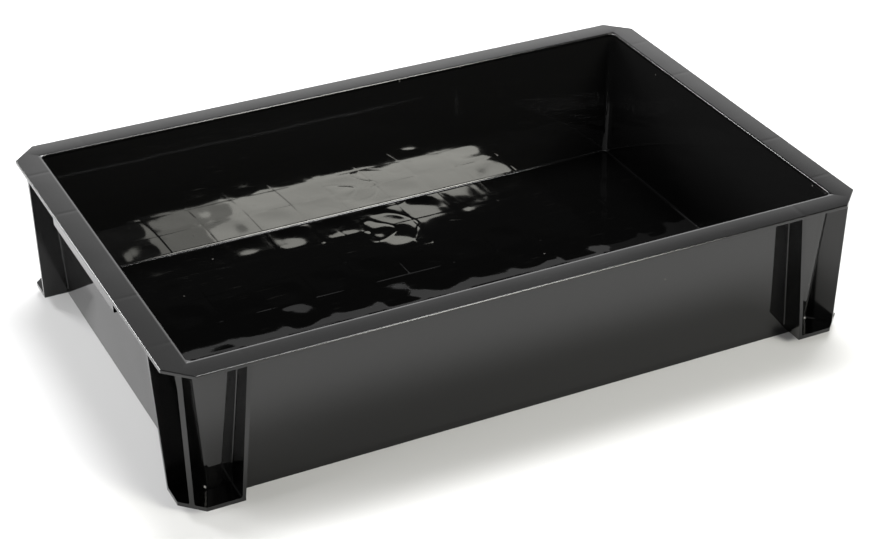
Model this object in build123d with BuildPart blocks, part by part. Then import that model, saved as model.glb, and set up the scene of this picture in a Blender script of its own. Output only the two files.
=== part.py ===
"""Stacking crate: a shallow moulded tray with a flat rim, four ribbed corner posts and two end grips.

The crate stands on its base. +X runs along the length, +Y to the rear, +Z up, in millimetres,
with the origin at the middle of the base.
"""
import os

from build123d import *

os.makedirs("parts", exist_ok=True)

# Overall size
crate_length = 600.0
crate_width = 400.0
crate_height = 130.0

# Rim, a flat flange round the mouth of the tray
rim_width = 21.6
rim_thickness = 3.0
rim_corner_cut = 20.0
rim_edge_radius = 0.8

# Tray, with drafted walls of one thickness round a flat floor
wall_thickness = 3.4
wall_draft = 4.2
tray_corner_radius = 5.0
floor_height = 11.0
floor_thickness = 3.2
floor_edge_radius = 2.2

# Base skirt, which drops into the mouth of the crate below
nest_depth = 7.0
skirt_step = 0.6

# Corner posts, whose ribs lean towards the corner on their way down to the foot
post_draft = 2.0
foot_thickness = 3.5
long_rib_from_end_at_rim = 63.0
long_rib_from_end_at_foot = 53.0
short_rib_from_side_at_rim = 54.0
short_rib_from_side_at_foot = 45.0
post_rib_at_rim = 3.9
post_rib_at_foot = 2.8
diagonal_rib_at_rim = 4.4
diagonal_rib_at_foot = 4.0
post_root_radius = 1.2
foot_root_bevel = 1.0

# End grips, a lip under the rim with a web at each end of it
grip_length = 150.0
grip_lip_height = 7.0
grip_lip_thickness = 2.8
grip_lip_radius = 1.2
grip_web_thickness = 3.0
grip_web_height_at_wall = 11.0

# Rib grid under the floor
lengthwise_rib_count = 7
lengthwise_rib_from_wall = 39.8
crosswise_rib_count = 11
crosswise_rib_from_wall = 53.2
floor_rib_root = 2.2
floor_rib_tip = 1.6
floor_rib_lift = 1.8

# Places that follow from the sizes
half_length = crate_length / 2
half_width = crate_width / 2
mitre_meeting = half_length - half_width
mouth_length = crate_length - 2 * rim_width
mouth_width = crate_width - 2 * rim_width
rim_underside = crate_height - rim_thickness
floor_underside = floor_height - floor_thickness
foot_top = nest_depth + foot_thickness


def save(piece, name):
    """Label one finished piece and write it under that name."""
    piece.label = name
    export_step(piece, f"parts/{name}.step")


def looking_down(height):
    """A level plane whose normal points to the base, so that a draft narrows downwards."""
    return Plane(origin=(0, 0, height), x_dir=(1, 0, 0), z_dir=(0, 0, -1))


def tray_form(outwards):
    """The tray as a drafted block, its faces moved outwards from the inside of the walls."""
    with BuildPart() as form:
        with BuildSketch(looking_down(crate_height)):
            Rectangle(mouth_length + 2 * outwards, mouth_width + 2 * outwards)
        extrude(amount=crate_height)
        draft(form.faces().filter_by(Axis.Z, reverse=True), looking_down(crate_height), wall_draft)
        upright_edges = form.edges().filter_by(Axis.X, reverse=True).filter_by(Axis.Y, reverse=True)
        fillet(upright_edges, radius=tray_corner_radius + outwards)
    return form.part


tray_inside = tray_form(0)
tray_outside = tray_form(wall_thickness)
skirt_outside = tray_form(wall_thickness - skirt_step)

# Room for the load, rounded where the walls run into the floor
with BuildPart() as load_room:
    add(tray_inside)
    split(bisect_by=Plane.XY.offset(floor_height), keep=Keep.TOP)
    fillet(load_room.faces().sort_by(Axis.Z)[0].edges(), radius=floor_edge_radius)

# Room for the floor and its ribs, with square edges
with BuildPart() as floor_room:
    add(tray_inside)
    split(bisect_by=Plane.XY.offset(floor_height), keep=Keep.BOTTOM)

# The walls all round, from the skirt to the rim
with BuildPart() as wall_ring:
    add(tray_outside)
    split(bisect_by=Plane.XY.offset(rim_underside), keep=Keep.BOTTOM)
    split(bisect_by=Plane.XY.offset(nest_depth), keep=Keep.TOP)
    add(load_room.part, mode=Mode.SUBTRACT)
    add(floor_room.part, mode=Mode.SUBTRACT)

# The skirt all round, stepped in from the walls and flush with their inside
with BuildPart() as skirt_ring:
    add(skirt_outside)
    split(bisect_by=Plane.XY.offset(nest_depth), keep=Keep.BOTTOM)
    add(tray_inside, mode=Mode.SUBTRACT)

# The rim all round. Its lower edge stays square at the ends, where the grip lips carry on from it
with BuildPart() as rim_ring:
    with BuildSketch(Plane.XY.offset(rim_underside)) as rim_outline:
        Rectangle(crate_length, crate_width)
        chamfer(rim_outline.vertices(), length=rim_corner_cut)
    extrude(amount=rim_thickness)
    add(tray_inside, mode=Mode.SUBTRACT)
    top_edges = rim_ring.faces().sort_by(Axis.Z)[-1].edges()
    lower_edges = rim_ring.faces().sort_by(Axis.Z)[0].outer_wire().edges().filter_by(Axis.Y, reverse=True)
    fillet(top_edges + lower_edges, radius=rim_edge_radius)

# Each side takes its share of the three rings, mitred at the corners
near_left = (-half_length, -half_width)
near_right = (half_length, -half_width)
far_right = (half_length, half_width)
far_left = (-half_length, half_width)
left_meeting = (-mitre_meeting, 0)
right_meeting = (mitre_meeting, 0)
side_outlines = {
    "front": (near_left, near_right, right_meeting, left_meeting),
    "right": (near_right, far_right, right_meeting),
    "rear": (far_right, far_left, left_meeting, right_meeting),
    "left": (far_left, near_left, left_meeting),
}
for side, outline in side_outlines.items():
    for member, ring in (("wall", wall_ring), ("skirt", skirt_ring), ("rim", rim_ring)):
        with BuildPart() as side_member:
            add(ring.part)
            with BuildSketch():
                Polygon(*outline, align=None)
            extrude(amount=crate_height, mode=Mode.INTERSECT)
        save(side_member.part, f"{side}_{member}")

# Floor, let in between the walls
with BuildPart() as floor_panel:
    add(floor_room.part)
    split(bisect_by=Plane.XY.offset(floor_underside), keep=Keep.TOP)
save(floor_panel.part, "floor_panel")


def rib_section(place):
    """The drafted section of a floor rib, hung from the underside of the floor."""
    Polygon(
        (place - floor_rib_root / 2, floor_underside),
        (place + floor_rib_root / 2, floor_underside),
        (place + floor_rib_tip / 2, floor_rib_lift),
        (place - floor_rib_tip / 2, floor_rib_lift),
        align=None,
    )


def rib_places(half_floor, from_wall, count):
    """Evenly pitched places across the floor, the outer ones a set way from the walls."""
    first = from_wall - half_floor
    pitch = -2 * first / (count - 1)
    return [first + step * pitch for step in range(count)]


floor_edge = floor_panel.part.bounding_box().max

# Lengthwise floor ribs, each in one run from skirt to skirt
with BuildPart() as lengthwise_ribs:
    for place in rib_places(floor_edge.Y, lengthwise_rib_from_wall, lengthwise_rib_count):
        with BuildSketch(Plane.YZ):
            rib_section(place)
        extrude(amount=half_length, both=True)
    add(tray_inside, mode=Mode.INTERSECT)
for number, rib in enumerate(lengthwise_ribs.solids().sort_by(Axis.Y), start=1):
    save(rib, f"lengthwise_floor_rib_{number}")

# Crosswise floor ribs, each a row of short runs between the lengthwise ones
crosswise_places = rib_places(floor_edge.X, crosswise_rib_from_wall, crosswise_rib_count)
for number, place in enumerate(crosswise_places, start=1):
    with BuildPart() as crosswise_rib:
        with BuildSketch(Plane.XZ):
            rib_section(place)
        extrude(amount=half_width, both=True)
        add(tray_inside, mode=Mode.INTERSECT)
        add(lengthwise_ribs.part, mode=Mode.SUBTRACT)
    save(crosswise_rib.part, f"crosswise_floor_rib_{number}")

# Outer faces of the posts, from just inside the rim's edge down to the feet
with BuildPart() as post_faces:
    with BuildSketch(looking_down(rim_underside)) as post_outline:
        Rectangle(crate_length, crate_width)
        chamfer(post_outline.vertices(), length=rim_corner_cut)
        offset(amount=-rim_edge_radius, kind=Kind.INTERSECTION, mode=Mode.REPLACE)
    extrude(amount=rim_underside - nest_depth)
    draft(post_faces.faces().filter_by(Axis.Z, reverse=True), looking_down(rim_underside), post_draft)

# Rib across the long side at the end of the post, rear right, not yet cut off at the tray
with BuildPart() as long_rib:
    with BuildSketch(Plane.XZ):
        Polygon(
            (half_length - long_rib_from_end_at_rim, rim_underside),
            (half_length - long_rib_from_end_at_rim + post_rib_at_rim, rim_underside),
            (half_length - long_rib_from_end_at_foot + post_rib_at_foot, foot_top),
            (half_length - long_rib_from_end_at_foot, foot_top),
            align=None,
        )
    extrude(amount=half_width, dir=(0, 1, 0))
    add(post_faces.part, mode=Mode.INTERSECT)

# Rib across the short side at the other end of the post, rear right
with BuildPart() as short_rib:
    with BuildSketch(Plane.YZ):
        Polygon(
            (half_width - short_rib_from_side_at_rim, rim_underside),
            (half_width - short_rib_from_side_at_rim + post_rib_at_rim, rim_underside),
            (half_width - short_rib_from_side_at_foot + post_rib_at_foot, foot_top),
            (half_width - short_rib_from_side_at_foot, foot_top),
            align=None,
        )
    extrude(amount=half_length, dir=(1, 0, 0))
    add(post_faces.part, mode=Mode.INTERSECT)

# Rib from the corner of the tray to the middle of the cut corner, rear right
with BuildPart() as diagonal_rib:
    with BuildSketch(Plane(origin=(mitre_meeting, 0, 0), x_dir=(-1, 1, 0), z_dir=(1, 1, 0))):
        Polygon(
            (-diagonal_rib_at_rim / 2, rim_underside),
            (diagonal_rib_at_rim / 2, rim_underside),
            (diagonal_rib_at_foot / 2, foot_top),
            (-diagonal_rib_at_foot / 2, foot_top),
            align=None,
        )
    extrude(amount=crate_width)
    add(post_faces.part, mode=Mode.INTERSECT)



def cut_at_wall(rib):
    """A post rib cut off at the outside of the tray, with its two roots there rounded."""
    with BuildPart() as rooted_rib:
        add(rib)
        add(tray_outside)
        fillet(rooted_rib.edges(Select.NEW).sort_by(SortBy.LENGTH)[-2:], radius=post_root_radius)
        add(tray_outside, mode=Mode.SUBTRACT)
    return rooted_rib.part


post_long_rib = cut_at_wall(long_rib.part)
post_short_rib = cut_at_wall(short_rib.part)
with BuildPart() as post_diagonal_rib:
    add(diagonal_rib.part)
    add(tray_outside, mode=Mode.SUBTRACT)

# Foot plate that closes the post under its three ribs, rear right, its two pockets bevelled at the bottom
with BuildPart() as foot:
    with BuildSketch(Plane.XY.offset(nest_depth)):
        with Locations((half_length, half_width)):
            Rectangle(long_rib_from_end_at_foot, short_rib_from_side_at_foot, align=(Align.MAX, Align.MAX))
    extrude(amount=foot_thickness)
    add(post_faces.part, mode=Mode.INTERSECT)
    add([tray_outside, long_rib.part, short_rib.part, diagonal_rib.part])
    near_foot_top = (foot_top - foot_root_bevel, foot_top + foot_root_bevel)
    pocket_floors = foot.faces().filter_by(Axis.Z).filter_by_position(Axis.Z, *near_foot_top)
    chamfer(pocket_floors.edges().filter_by(lambda edge: edge.is_interior), length=foot_root_bevel)
    add([tray_outside, post_long_rib, post_short_rib, post_diagonal_rib.part], mode=Mode.SUBTRACT)

# Grip lip under the right rim, with rounded lower edges for the fingers
with BuildPart() as grip_lip:
    with BuildSketch(Plane.XY.offset(rim_underside - grip_lip_height)):
        with Locations((half_length, 0)):
            Rectangle(grip_lip_thickness, grip_length, align=(Align.MAX, Align.CENTER))
    extrude(amount=grip_lip_height)
    fillet(grip_lip.faces().sort_by(Axis.Z)[0].edges().filter_by(Axis.Y), radius=grip_lip_radius)

# Web that ties the rear end of the right grip lip to the wall
lip_inner_face = half_length - grip_lip_thickness
with BuildPart() as grip_web:
    with BuildSketch(Plane.XZ.offset(-grip_length / 2)):
        Polygon(
            (half_length - rim_width, rim_underside),
            (lip_inner_face, rim_underside),
            (lip_inner_face, rim_underside - grip_lip_height),
            (half_length - rim_width, rim_underside - grip_web_height_at_wall),
            align=None,
        )
    extrude(amount=grip_web_thickness)
    add(tray_outside, mode=Mode.SUBTRACT)


def mirrored(piece, to_left, to_front):
    """A rear right piece carried over to another corner."""
    if to_left:
        piece = mirror(piece, about=Plane.YZ)
    if to_front:
        piece = mirror(piece, about=Plane.XZ)
    return piece


# The four posts, and the two grips with their webs
for side, to_left in (("left", True), ("right", False)):
    save(mirrored(grip_lip.part, to_left, False), f"{side}_grip_lip")
    for end, to_front in (("front", True), ("rear", False)):
        save(mirrored(grip_web.part, to_left, to_front), f"{side}_grip_{end}_web")
        save(mirrored(post_long_rib, to_left, to_front), f"{end}_{side}_post_long_rib")
        save(mirrored(post_short_rib, to_left, to_front), f"{end}_{side}_post_short_rib")
        save(mirrored(post_diagonal_rib.part, to_left, to_front), f"{end}_{side}_post_diagonal_rib")
        save(mirrored(foot.part, to_left, to_front), f"{end}_{side}_foot")
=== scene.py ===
"""Stacking crate in glossy black plastic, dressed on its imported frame, on a pale studio floor.

Lengths are in metres, in the frame of the CAD model: +X along the crate, +Y to the rear, +Z up.
"""
import math

import bpy
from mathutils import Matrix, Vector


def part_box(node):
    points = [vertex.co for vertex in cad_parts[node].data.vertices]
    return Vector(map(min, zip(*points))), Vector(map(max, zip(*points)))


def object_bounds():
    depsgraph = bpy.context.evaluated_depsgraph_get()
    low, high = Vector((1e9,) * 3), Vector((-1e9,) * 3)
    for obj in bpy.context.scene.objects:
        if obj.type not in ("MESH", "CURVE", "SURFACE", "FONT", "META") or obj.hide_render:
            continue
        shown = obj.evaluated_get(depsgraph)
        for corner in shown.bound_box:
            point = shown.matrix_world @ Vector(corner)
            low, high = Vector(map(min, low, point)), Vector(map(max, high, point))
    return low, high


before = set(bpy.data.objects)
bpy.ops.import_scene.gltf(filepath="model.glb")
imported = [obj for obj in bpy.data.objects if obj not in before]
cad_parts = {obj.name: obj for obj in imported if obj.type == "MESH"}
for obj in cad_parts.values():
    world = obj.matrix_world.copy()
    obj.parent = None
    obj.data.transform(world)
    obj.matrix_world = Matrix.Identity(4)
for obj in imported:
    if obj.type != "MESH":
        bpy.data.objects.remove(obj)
cad_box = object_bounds()

# Camera, at the photograph's viewing angle
CAMERA_PLACE = (-0.6763, -1.4277, 0.9710)
CAMERA_TURN = (math.radians(59.44), 0.0, math.radians(-26.824))
CAMERA_LENS = 88.94
CAMERA_SENSOR = 36.0
CAMERA_SHIFT = -0.0498

# Studio floor
FLOOR_SIZE = 12.0
FLOOR_COLOUR = (0.62, 0.62, 0.62, 1.0)
FLOOR_ROUGHNESS = 0.7

# Studio surround: its glow from low to overhead, by the Z and X of a direction (-1 to 1)
SURROUND_COLOUR = (1.0, 1.0, 1.0, 1.0)
SWEEP_GLOW = 1.65
SWEEP_TOP = 0.40
UPPER_SWEEP_START = 0.51
UPPER_SWEEP_TOP = 0.61
UPPER_LEFT_GLOW = 0.5
UPPER_LEFT_END = 0.44
UPPER_RIGHT_GLOW = 0.3
UPPER_RIGHT_START = 0.48
CEILING_GLOW = 0.03
CEILING_START = 0.67

# Share of that glow in front of the crate and behind it, by the Y and X of a direction
FRONT_END = -0.5
FRONT_LEFT_SHARE = 0.80
FRONT_LEFT_END = 0.0
FRONT_RIGHT_SHARE = 0.15
FRONT_RIGHT_START = 0.5
REAR_START = 0.1
REAR_LEFT_SHARE = 1.0
REAR_LEFT_END = 0.40
REAR_RIGHT_SHARE = 0.75
REAR_RIGHT_START = 0.60

# Light colours
WARM_WHITE = (1.0, 0.99, 0.91)
PLAIN_WHITE = (1.0, 1.0, 1.0)

# Crate
RIM_WIDTH = 0.0216
WALL_THICKNESS = 0.0034
WALL_LEAN = math.tan(math.radians(4.2))
LONG_SIDE_RIB_FROM_MIDDLE = 0.2390
SHORT_SIDE_RIB_FROM_MIDDLE = 0.1480
mouth_half_length = cad_box[1][0] - RIM_WIDTH
mouth_half_width = cad_box[1][1] - RIM_WIDTH
mouth_height = cad_box[1][2]
tray_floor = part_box("floor_panel")[1][2]

# Black plastic
PLASTIC_IOR = 1.5
DUST_COLOUR = (0.10, 0.095, 0.088, 1.0)
HAZE = 0.015
SCUFFS = 1.0
DUST = 0.05

# Relief
NOISE_ROUGHNESS = 0.4
CALM_STRETCH_IN_WAVES = 4.0
CALM_FADE = 0.15
SINK_PATCH_LENGTH = 0.04
SINK_NONE_BELOW = 0.40
SINK_FULL_ABOVE = 0.60
SINK_EXTRA_WIDTHS = 4.0

# Marks on a handled surface
HAZE_SCALE = 14.0
HAZE_DETAIL = 4.0
HAZE_ROUGHNESS = 0.6
HAZE_NONE_BELOW = 0.38
HAZE_FULL_ABOVE = 0.68
SCUFF_SCALES = (45.0, 520.0, 520.0)
SCUFF_NONE_BELOW = 0.70
SCUFF_FULL_ABOVE = 0.80
SCUFF_COVER = 0.06
SCUFF_ROUGHNESS = 0.12
SPECK_SCALE = 90.0
SPECK_EDGE = 0.09
SPECK_CORE = 0.05
SPECK_COVER = 0.5
SPECK_ROUGHNESS = 0.4

VECTOR, NUMBER, COLOUR = "NodeSocketVector", "NodeSocketFloat", "NodeSocketColor"


# Node helpers

def feed(tree, value, socket):
    """Link an output to a socket, or set the socket to a plain value."""
    if isinstance(value, bpy.types.NodeSocket):
        tree.links.new(value, socket)
    else:
        socket.default_value = value


def add_node(tree, kind, options=None, **inputs):
    """Add a node, set its options and feed its inputs by name."""
    node = tree.nodes.new(kind)
    for option, value in (options or {}).items():
        setattr(node, option, value)
    for name, value in inputs.items():
        feed(tree, value, node.inputs[name.replace("_", " ")])
    return node


def calc(tree, operation, *values):
    """A Math node's result."""
    node = add_node(tree, "ShaderNodeMath", {"operation": operation})
    for value, socket in zip(values, node.inputs):
        feed(tree, value, socket)
    return node.outputs["Value"]


def calc_vector(tree, operation, *values, output="Vector"):
    """A Vector Math node's result."""
    node = add_node(tree, "ShaderNodeVectorMath", {"operation": operation})
    for value, socket in zip(values, node.inputs):
        feed(tree, value, socket)
    return node.outputs[output]


def product(tree, *values):
    """Several values multiplied together."""
    result = values[0]
    for value in values[1:]:
        result = calc(tree, "MULTIPLY", result, value)
    return result


def total(tree, *values):
    """Several values added up."""
    result = values[0]
    for value in values[1:]:
        result = calc(tree, "ADD", result, value)
    return result


def parts_of(tree, vector):
    """The X, Y and Z of a vector."""
    return add_node(tree, "ShaderNodeSeparateXYZ", Vector=vector).outputs


def remap(tree, value, low, high, at_low=0.0, at_high=1.0, interpolation="LINEAR"):
    """What a value between low and high gives between two others, which it doesn't leave."""
    node = add_node(tree, "ShaderNodeMapRange", {"interpolation_type": interpolation}, Value=value,
                    From_Min=low, From_Max=high, To_Min=at_low, To_Max=at_high)
    return node.outputs["Result"]


def new_group(name, inputs, outputs):
    """An empty shader node group with named sockets, and its input and output sockets."""
    group = bpy.data.node_groups.new(name, "ShaderNodeTree")
    for label, kind in inputs:
        group.interface.new_socket(label, in_out="INPUT", socket_type=kind)
    for label, kind in outputs:
        group.interface.new_socket(label, in_out="OUTPUT", socket_type=kind)
    given = group.nodes.new("NodeGroupInput").outputs
    result = group.nodes.new("NodeGroupOutput").inputs
    return group, given, result


def place_group(tree, group, **inputs):
    """Put a group into a tree with its own values and give back its outputs."""
    return add_node(tree, "ShaderNodeGroup", {"node_tree": group}, **inputs).outputs


# Relief groups

def noise_at(tree, place, length, low, high, detail=1.0):
    """A noise of a set wave length: 0 where it is below low and 1 where it is above high."""
    noise = add_node(tree, "ShaderNodeTexNoise", Vector=place, Detail=detail,
                     Scale=calc(tree, "DIVIDE", 1.0, length), Roughness=NOISE_ROUGHNESS)
    return remap(tree, noise.outputs["Fac"], low, high)


def noise_swing(tree, place, length):
    """A noise of a set wave length that swings to both sides of zero."""
    return calc(tree, "SUBTRACT", noise_at(tree, place, length, 0.0, 1.0), 0.5)


def hump(tree, away, width):
    """The height of a rounded hump, 1 at its middle, a set distance away from there."""
    share = calc(tree, "DIVIDE", away, width)
    return calc(tree, "EXPONENT", product(tree, share, share, -1.0))


def groove(tree, away, width, depth):
    """The height of a rounded groove, a set distance away from its middle."""
    return product(tree, hump(tree, away, width), depth, -1.0)


def make_moulding_waves():
    """Unevenness that a moulded wall keeps after it cools, with calmer stretches between."""
    group, given, result = new_group(
        "moulding waves",
        [("Place", VECTOR), ("Wave length", NUMBER), ("Wave height", NUMBER), ("Calm", NUMBER)],
        [("Height", NUMBER)],
    )
    swing = noise_swing(group, given["Place"], given["Wave length"])
    stretch = calc(group, "MULTIPLY", given["Wave length"], CALM_STRETCH_IN_WAVES)
    calm_end = calc(group, "ADD", given["Calm"], CALM_FADE)
    lively = noise_at(group, given["Place"], stretch, given["Calm"], calm_end, detail=0.0)
    feed(group, product(group, swing, lively, given["Wave height"]), result["Height"])
    return group


def make_sink_grid():
    """Sink marks over a grid of ribs: uneven, deeper at the crossings, faint towards the front."""
    group, given, result = new_group(
        "sink grid",
        [("Place", VECTOR), ("First", VECTOR), ("Pitch", VECTOR), ("Last step", VECTOR),
         ("Width", NUMBER), ("Crosswise depth", NUMBER), ("Lengthwise depth", NUMBER),
         ("Crossing width", NUMBER), ("Crossing depth", NUMBER),
         ("Faint to", NUMBER), ("Clear from", NUMBER)],
        [("Height", NUMBER)],
    )

    def width_beside(away):
        """A mark's width: it spreads further to the front and left of its rib."""
        wider = calc(group, "LESS_THAN", away, 0.0)
        widths = calc(group, "MULTIPLY_ADD", wider, SINK_EXTRA_WIDTHS, 1.0)
        return product(group, given["Width"], widths)

    from_first = calc_vector(group, "SUBTRACT", given["Place"], given["First"])
    steps = calc_vector(group, "DIVIDE", from_first, given["Pitch"])
    steps = calc_vector(group, "FLOOR", calc_vector(group, "ADD", steps, (0.5, 0.5, 0.5)))
    steps = calc_vector(group, "MINIMUM", steps, given["Last step"])
    steps = calc_vector(group, "MAXIMUM", steps, (0.0, 0.0, 0.0))
    nearest = calc_vector(group, "MULTIPLY", steps, given["Pitch"])
    away = parts_of(group, calc_vector(group, "SUBTRACT", from_first, nearest))
    rearwards = parts_of(group, given["Place"])["Y"]
    clear = remap(group, rearwards, given["Faint to"], given["Clear from"])
    crosswise = groove(group, away["X"], width_beside(away["X"]),
                       product(group, given["Crosswise depth"], clear))
    lengthwise = groove(group, away["Y"], width_beside(away["Y"]), given["Lengthwise depth"])
    uneven = noise_at(group, given["Place"], SINK_PATCH_LENGTH, SINK_NONE_BELOW, SINK_FULL_ABOVE)
    lines = product(group, total(group, crosswise, lengthwise), uneven)
    squares = [product(group, away[axis], away[axis]) for axis in ("X", "Y")]
    from_crossing = calc(group, "SQRT", total(group, *squares))
    crossings = groove(group, from_crossing, given["Crossing width"], given["Crossing depth"])
    feed(group, total(group, lines, crossings), result["Height"])
    return group


def make_sink_pair():
    """Two sink marks, the same way out to both sides of the middle."""
    group, given, result = new_group(
        "sink pair",
        [("Along", NUMBER), ("From middle", NUMBER), ("Width", NUMBER), ("Depth", NUMBER)],
        [("Height", NUMBER)],
    )
    away = calc(group, "SUBTRACT", calc(group, "ABSOLUTE", given["Along"]), given["From middle"])
    feed(group, groove(group, away, given["Width"], given["Depth"]), result["Height"])
    return group


def make_flow_marks():
    """Fine curling grooves round the place where the melt's fronts met."""
    group, given, result = new_group(
        "flow marks",
        [("Place", VECTOR), ("Loop length", NUMBER), ("Width", NUMBER), ("Depth", NUMBER),
         ("Middle", VECTOR), ("Reach", NUMBER)],
        [("Height", NUMBER)],
    )
    swing = noise_swing(group, given["Place"], given["Loop length"])
    away = product(group, swing, given["Loop length"])
    curls = groove(group, away, given["Width"], given["Depth"])
    beside = calc_vector(group, "DISTANCE", given["Place"], given["Middle"], output="Value")
    feed(group, product(group, curls, hump(group, beside, given["Reach"])), result["Height"])
    return group


def make_gate_swell():
    """A low round swell where the melt came in."""
    group, given, result = new_group(
        "gate swell",
        [("Place", VECTOR), ("Middle", VECTOR), ("Reach", NUMBER), ("Rise", NUMBER)],
        [("Height", NUMBER)],
    )
    beside = calc_vector(group, "DISTANCE", given["Place"], given["Middle"], output="Value")
    swell = hump(group, beside, given["Reach"])
    feed(group, product(group, swell, given["Rise"]), result["Height"])
    return group


def make_bay_sag():
    """The floor's bays between the ribs, each sunk and tilted a little in its own way."""
    group, given, result = new_group(
        "bay sag",
        [("Place", VECTOR), ("First", VECTOR), ("Bay", VECTOR), ("Sag", NUMBER),
         ("Unlikeness", NUMBER), ("Tilt", NUMBER), ("Border", NUMBER)],
        [("Height", NUMBER)],
    )
    from_first = calc_vector(group, "SUBTRACT", given["Place"], given["First"])
    bays = calc_vector(group, "DIVIDE", from_first, given["Bay"])
    bay = calc_vector(group, "FLOOR", bays)
    own = add_node(group, "ShaderNodeTexWhiteNoise", Vector=bay).outputs
    own_tilt = parts_of(group, own["Color"])
    across = parts_of(group, calc_vector(group, "FRACTION", bays))
    hollow, plateau, tilt = [], [], []
    for axis in ("X", "Y"):
        swing = calc(group, "COSINE", product(group, across[axis], math.tau))
        hollow.append(calc(group, "MULTIPLY_ADD", swing, -0.5, 0.5))
        from_far_rib = calc(group, "SUBTRACT", 1.0, across[axis])
        from_rib = calc(group, "MINIMUM", across[axis], from_far_rib)
        plateau.append(remap(group, from_rib, 0.0, given["Border"], interpolation="SMOOTHSTEP"))
        slope = calc(group, "SUBTRACT", own_tilt[axis], 0.5)
        from_bay_middle = calc(group, "SUBTRACT", across[axis], 0.5)
        tilt.append(product(group, slope, from_bay_middle))
    unlike = calc(group, "MULTIPLY_ADD", own["Value"], 2.0, -1.0)
    own_share = calc(group, "MULTIPLY_ADD", unlike, given["Unlikeness"], 1.0)
    sunk = product(group, *hollow, product(group, given["Sag"], own_share))
    tilted = product(group, *plateau, total(group, *tilt), given["Tilt"])
    feed(group, calc(group, "SUBTRACT", tilted, sunk), result["Height"])
    return group


def make_wall_bow():
    """The way a moulded wall's inner face draws inwards halfway up."""
    group, given, result = new_group(
        "wall bow",
        [("Outwards", NUMBER), ("Upwards", NUMBER), ("Middle at mouth", NUMBER), ("Bow", NUMBER)],
        [("Height", NUMBER)],
    )
    below_mouth = calc(group, "SUBTRACT", mouth_height, given["Upwards"])
    drawn_in = product(group, below_mouth, WALL_LEAN)
    wall_middle = calc(group, "SUBTRACT", given["Middle at mouth"], drawn_in)
    outwards = calc(group, "ABSOLUTE", given["Outwards"])
    inwards = calc(group, "SUBTRACT", wall_middle, outwards)
    on_inner_face = calc(group, "MAXIMUM", calc(group, "SIGN", inwards), 0.0)
    share = calc(group, "DIVIDE", below_mouth, mouth_height - tray_floor)
    swell = calc(group, "SINE", product(group, share, math.pi))
    feed(group, product(group, swell, on_inner_face, given["Bow"]), result["Height"])
    return group


def make_rim_crown():
    """The rim's top face, a little higher along its middle, and rolled over at the mouth."""
    group, given, result = new_group(
        "rim crown",
        [("Outwards", NUMBER), ("Mouth", NUMBER), ("Crown", NUMBER), ("Roll width", NUMBER),
         ("Roll drop", NUMBER)],
        [("Height", NUMBER)],
    )
    outwards = calc(group, "ABSOLUTE", given["Outwards"])
    from_mouth = calc(group, "SUBTRACT", outwards, given["Mouth"])
    from_rim_middle = calc(group, "MULTIPLY_ADD", from_mouth, 2.0 / RIM_WIDTH, -1.0)
    crown_drop = product(group, from_rim_middle, from_rim_middle, given["Crown"])
    share = calc(group, "DIVIDE", from_mouth, given["Roll width"])
    into_roll = calc(group, "MAXIMUM", calc(group, "SUBTRACT", 1.0, share), 0.0)
    roll_drop = product(group, into_roll, into_roll, given["Roll drop"])
    feed(group, product(group, total(group, crown_drop, roll_drop), -1.0), result["Height"])
    return group


def make_handled_surface():
    """Colour and roughness of handled plastic: faint haze, fine scuffs and specks of dust."""
    group, given, result = new_group(
        "handled surface",
        [("Place", VECTOR), ("Clean colour", COLOUR), ("Dust colour", COLOUR),
         ("Roughness", NUMBER), ("Haze", NUMBER), ("Scuffs", NUMBER), ("Dust", NUMBER)],
        [("Colour", COLOUR), ("Roughness", NUMBER)],
    )
    clouds = add_node(group, "ShaderNodeTexNoise", Vector=given["Place"], Scale=HAZE_SCALE,
                      Detail=HAZE_DETAIL, Roughness=HAZE_ROUGHNESS).outputs["Fac"]
    haze = remap(group, clouds, HAZE_NONE_BELOW, HAZE_FULL_ABOVE)
    streaked = calc_vector(group, "MULTIPLY", given["Place"], SCUFF_SCALES)
    streaks = add_node(group, "ShaderNodeTexNoise", Vector=streaked, Scale=1.0,
                       Detail=1.0).outputs["Fac"]
    streaks = remap(group, streaks, SCUFF_NONE_BELOW, SCUFF_FULL_ABOVE)
    scuffs = product(group, streaks, haze, given["Scuffs"])
    specks = add_node(group, "ShaderNodeTexVoronoi", Vector=given["Place"],
                      Scale=SPECK_SCALE).outputs
    speck = remap(group, specks["Distance"], SPECK_EDGE, SPECK_CORE)
    chosen = calc(group, "LESS_THAN", parts_of(group, specks["Color"])["X"], given["Dust"])
    dust = product(group, speck, chosen)
    worn = calc(group, "MAXIMUM", product(group, dust, SPECK_COVER),
                product(group, scuffs, SCUFF_COVER))
    # The clean colour carries each part's painted light and shading.
    colour = add_node(group, "ShaderNodeMixRGB", Fac=worn, Color1=given["Clean colour"],
                      Color2=given["Dust colour"])
    feed(group, colour.outputs["Color"], result["Colour"])
    roughness = calc(group, "MULTIPLY_ADD", haze, given["Haze"], given["Roughness"])
    roughness = calc(group, "MULTIPLY_ADD", scuffs, SCUFF_ROUGHNESS, roughness)
    roughness = calc(group, "MULTIPLY_ADD", dust, SPECK_ROUGHNESS, roughness)
    feed(group, roughness, result["Roughness"])
    return group


moulding_waves = make_moulding_waves()
sink_grid = make_sink_grid()
sink_pair = make_sink_pair()
flow_marks = make_flow_marks()
gate_swell = make_gate_swell()
bay_sag = make_bay_sag()
wall_bow = make_wall_bow()
rim_crown = make_rim_crown()
handled_surface = make_handled_surface()


# Finishes, each with its tone as painted light and shading. A relief is a list of groups with
# their values, where "place", "x", "y" and "z" stand for the place on the crate.

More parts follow.
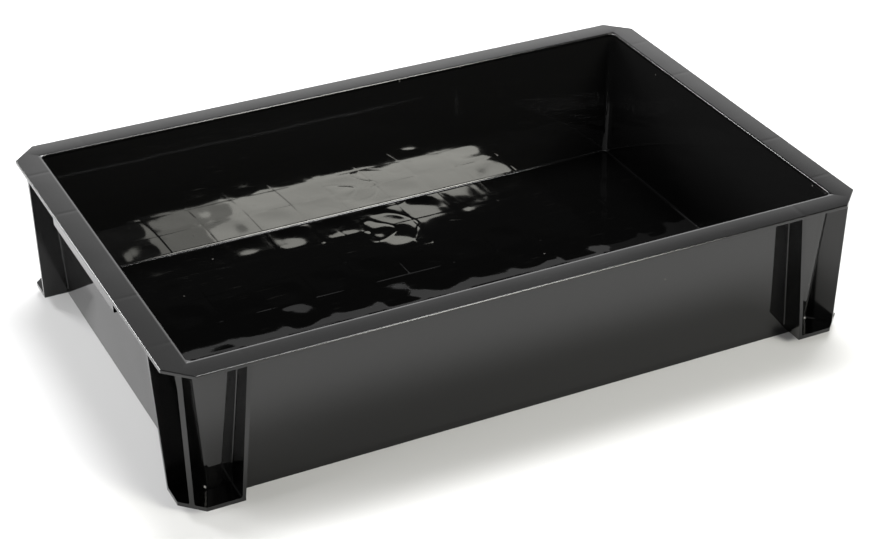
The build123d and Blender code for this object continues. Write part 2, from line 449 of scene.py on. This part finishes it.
def black_plastic(name, tone_and_painted_light, roughness, relief, dust=DUST):
    """Glossy black moulding with a relief added up from its groups, and a handled surface. Its
    tone is painted light and shading: the one black plastic set lighter or darker for each part.
    """
    material = bpy.data.materials.new(name)
    material.use_nodes = True
    tree = material.node_tree
    shader = tree.nodes["Principled BSDF"]
    shader.inputs["IOR"].default_value = PLASTIC_IOR
    place = add_node(tree, "ShaderNodeTexCoord").outputs["Object"]
    axes = parts_of(tree, place)
    sources = {"place": place, "x": axes["X"], "y": axes["Y"], "z": axes["Z"]}
    heights = []
    for group, values in relief:
        inputs = {label: sources[value] if isinstance(value, str) else value
                  for label, value in values.items()}
        heights.append(place_group(tree, group, **inputs)["Height"])
    bump = add_node(tree, "ShaderNodeBump", Strength=1.0, Distance=1.0,
                    Height=total(tree, *heights))
    feed(tree, bump.outputs["Normal"], shader.inputs["Normal"])
    # The tone is painted light and shading, set per part over one black plastic.
    surface = place_group(tree, handled_surface, Place=place,
                          Clean_colour=(tone_and_painted_light, tone_and_painted_light, tone_and_painted_light, 1.0), Dust_colour=DUST_COLOUR,
                          Roughness=roughness, Haze=HAZE, Scuffs=SCUFFS, Dust=dust)
    feed(tree, surface["Colour"], shader.inputs["Base Color"])
    feed(tree, surface["Roughness"], shader.inputs["Roughness"])
    return material


def waves(length, height, calm=0.0):
    """Relief of moulding waves of one length and height."""
    return moulding_waves, dict(Place="place", Wave_length=length, Wave_height=height, Calm=calm)


def bowed(axis, mouth, bow):
    """Relief of a wall that draws inwards."""
    return wall_bow, dict(Outwards=axis, Upwards="z", Bow=bow,
                          Middle_at_mouth=mouth + WALL_THICKNESS / 2)


def crowned(axis, mouth):
    """Relief of a rim's crown."""
    return rim_crown, dict(Outwards=axis, Mouth=mouth, Crown=0.00015, Roll_width=0.0024,
                           Roll_drop=0.0005)


def sunk_pair(axis, from_middle):
    """Relief of the sink marks over two ribs under the rim."""
    return sink_pair, dict(Along=axis, From_middle=from_middle, Width=0.0022, Depth=0.00003)


def middle_of(node, axis):
    """Middle of a node along one axis."""
    low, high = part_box(node)
    return (low[axis] + high[axis]) / 2


def rib_row(direction, axis):
    """The middle of the first floor rib of one direction, the ribs' pitch and their last step."""
    row = f"{direction}_floor_rib_"
    first, second = (middle_of(f"{row}{number}", axis) for number in (1, 2))
    count = sum(name.startswith(row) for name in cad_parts)
    return first, second - first, count - 1.0


first_cross, cross_pitch, last_cross = rib_row("crosswise", 0)
first_long, long_pitch, last_long = rib_row("lengthwise", 1)
first_rib, rib_pitch = (first_cross, first_long, 0.0), (cross_pitch, long_pitch, 1.0)
web_from_middle = abs(middle_of("left_grip_front_web", 1))

floor_relief = [
    waves(length=0.11, height=0.0005),
    waves(length=0.035, height=0.00035, calm=0.42),
    (flow_marks, dict(
        Place="place", Loop_length=0.045, Width=0.0010, Depth=0.00015,
        Middle=(0.030, 0.130, tray_floor), Reach=0.04)),
    (sink_grid, dict(
        Place="place", First=first_rib, Pitch=rib_pitch, Last_step=(last_cross, last_long, 0.0),
        Width=0.0009, Crosswise_depth=0.00012, Lengthwise_depth=0.00007,
        Crossing_width=0.0022, Crossing_depth=0.00003, Faint_to=0.02, Clear_from=0.06)),
    (gate_swell, dict(
        Place="place", Middle=(0.010, 0.076, tray_floor), Reach=0.042, Rise=0.0011)),
    (bay_sag, dict(
        Place="place", First=first_rib, Bay=rib_pitch, Sag=0.00022, Unlikeness=1.3,
        Tilt=0.0008, Border=0.25)),
    (sink_pair, dict(Along="y", From_middle=0.0, Width=0.012, Depth=0.00024)),
]
# Each tone below is painted light and shading over one black plastic: darkest on the posts,
# lightest on the long walls.
finishes_and_painted_tones = {
    "floor": black_plastic(
        "tray floor plastic", tone_and_painted_light=0.0013, roughness=0.03, dust=0.025, relief=floor_relief),
    "long wall": black_plastic(
        "long wall plastic", tone_and_painted_light=0.0036, roughness=0.035, relief=[
            waves(length=0.12, height=0.0005),
            waves(length=0.035, height=0.00015, calm=0.5),
            bowed("y", mouth_half_width, bow=0.0018)]),
    "short wall": black_plastic(
        "short wall plastic", tone_and_painted_light=0.0028, roughness=0.035, relief=[
            waves(length=0.12, height=0.0005),
            waves(length=0.035, height=0.00012, calm=0.5),
            bowed("x", mouth_half_length, bow=0.0012)]),
    "long rim": black_plastic(
        "long rim plastic", tone_and_painted_light=0.0015, roughness=0.13, relief=[
            waves(length=0.06, height=0.00015),
            crowned("y", mouth_half_width),
            sunk_pair("x", LONG_SIDE_RIB_FROM_MIDDLE)]),
    "short rim": black_plastic(
        "short rim plastic", tone_and_painted_light=0.0015, roughness=0.13, relief=[
            waves(length=0.06, height=0.00015),
            crowned("x", mouth_half_length),
            sunk_pair("y", SHORT_SIDE_RIB_FROM_MIDDLE),
            sunk_pair("y", web_from_middle)]),
    "post": black_plastic(
        "post plastic", tone_and_painted_light=0.0006, roughness=0.10, dust=0.0, relief=[
            waves(length=0.05, height=0.00015)]),
    "skirt": black_plastic(
        "skirt plastic", tone_and_painted_light=0.001, roughness=0.05, relief=[
            waves(length=0.05, height=0.00015)]),
    "floor rib": black_plastic(
        "floor rib plastic", tone_and_painted_light=0.003, roughness=0.20, relief=[
            waves(length=0.03, height=0.0001)]),
}


def finish_and_painted_tone_of(node):
    """Which finish, with its painted tone of light and shading, a node of the crate takes."""
    if node == "floor_panel":
        return "floor"
    side, _, member = node.partition("_")
    long_side = side in ("front", "rear")
    if member == "wall":
        return "long wall" if long_side else "short wall"
    if member == "rim":
        return "long rim" if long_side else "short rim"
    if member == "skirt":
        return "skirt"
    if "floor_rib" in node:
        return "floor rib"
    return "post"


for node_name, node_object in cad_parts.items():
    for material_slot in node_object.material_slots:
        material_slot.material = finishes_and_painted_tones[finish_and_painted_tone_of(node_name)]

# Studio floor
bpy.ops.object.select_all(action="DESELECT")
bpy.ops.mesh.primitive_plane_add(size=FLOOR_SIZE, location=(0.0, 0.0, 0.0))
studio_floor = bpy.context.object
studio_floor.name = "studio_floor"
floor_paint = bpy.data.materials.new("studio floor paint")
floor_paint.use_nodes = True
floor_shader = floor_paint.node_tree.nodes["Principled BSDF"]
floor_shader.inputs["Base Color"].default_value = FLOOR_COLOUR
floor_shader.inputs["Roughness"].default_value = FLOOR_ROUGHNESS
floor_shader.inputs["Specular IOR Level"].default_value = 0.0
studio_floor.data.materials.append(floor_paint)

# Studio surround: bright low down, dimmer above, dark overhead and in front on the right
world = bpy.data.worlds.new("studio surround")
world.use_nodes = True
bpy.context.scene.world = world
sky = world.node_tree
surround = sky.nodes["Background"]
direction = parts_of(sky, add_node(sky, "ShaderNodeTexCoord").outputs["Generated"])
upper_glow = remap(sky, direction["X"], UPPER_LEFT_END, UPPER_RIGHT_START,
                   UPPER_LEFT_GLOW, UPPER_RIGHT_GLOW)
overhead_glow = remap(sky, direction["Z"], UPPER_SWEEP_TOP, CEILING_START,
                      upper_glow, CEILING_GLOW)
glow = remap(sky, direction["Z"], SWEEP_TOP, UPPER_SWEEP_START, SWEEP_GLOW, overhead_glow)
front_share = remap(sky, direction["X"], FRONT_LEFT_END, FRONT_RIGHT_START,
                    FRONT_LEFT_SHARE, FRONT_RIGHT_SHARE)
rear_share = remap(sky, direction["X"], REAR_LEFT_END, REAR_RIGHT_START,
                   REAR_LEFT_SHARE, REAR_RIGHT_SHARE)
glow_share = remap(sky, direction["Y"], FRONT_END, REAR_START, front_share, rear_share)
surround.inputs["Color"].default_value = SURROUND_COLOUR
feed(sky, product(sky, glow, glow_share), surround.inputs["Strength"])


# Lights

def soft_light(name, place, target, size, radiance, colour=PLAIN_WHITE):
    """A rectangular soft box that faces a target, as bright as a surface of that radiance."""
    lamp = bpy.data.lights.new(name, "AREA")
    lamp.shape = "RECTANGLE"
    lamp.size, lamp.size_y = size
    lamp.energy = radiance * math.pi * size[0] * size[1]
    lamp.color = colour
    box = bpy.data.objects.new(name, lamp)
    bpy.context.scene.collection.objects.link(box)
    box.location = place
    ahead_x, ahead_y, ahead_z = (t - p for t, p in zip(target, place))
    tilt = math.atan2(math.hypot(ahead_x, ahead_y), -ahead_z)
    box.rotation_euler = (tilt, 0.0, math.atan2(-ahead_x, ahead_y))


soft_light("front soft box", place=(0.893, -1.945, 1.093), target=(0.065, 0.175, 0.05),
           size=(0.592, 0.545), radiance=44.0, colour=WARM_WHITE)
soft_light("front soft box edge", place=(0.552, -2.077, 1.093), target=(-0.276, 0.043, 0.05),
           size=(0.140, 0.545), radiance=20.0, colour=WARM_WHITE)
soft_light("rear bank", place=(0.50, 0.60, 2.40), target=(0.1, 0.0, 0.0),
           size=(1.6, 0.6), radiance=34.0)
soft_light("rear left light", place=(-1.13, 1.72, 1.08), target=(0.0, 0.0, 0.1),
           size=(0.62, 0.30), radiance=46.0)
soft_light("top light", place=(0.7295, -1.0418, 2.0353), target=(0.0, 0.0, 0.0),
           size=(0.5, 0.5), radiance=8.0)
soft_light("left strip", place=(-2.4, 0.45, 0.40), target=(0.0, 0.1, 0.10),
           size=(2.0, 0.25), radiance=84.0)

# Camera
camera_data = bpy.data.cameras.new("photo camera")
camera_data.lens = CAMERA_LENS
camera_data.sensor_width = CAMERA_SENSOR
camera_data.shift_x = CAMERA_SHIFT
camera = bpy.data.objects.new("photo camera", camera_data)
bpy.context.scene.collection.objects.link(camera)
camera.location = CAMERA_PLACE
camera.rotation_euler = CAMERA_TURN
bpy.context.scene.camera = camera
bpy.context.scene.view_settings.view_transform = "Standard"
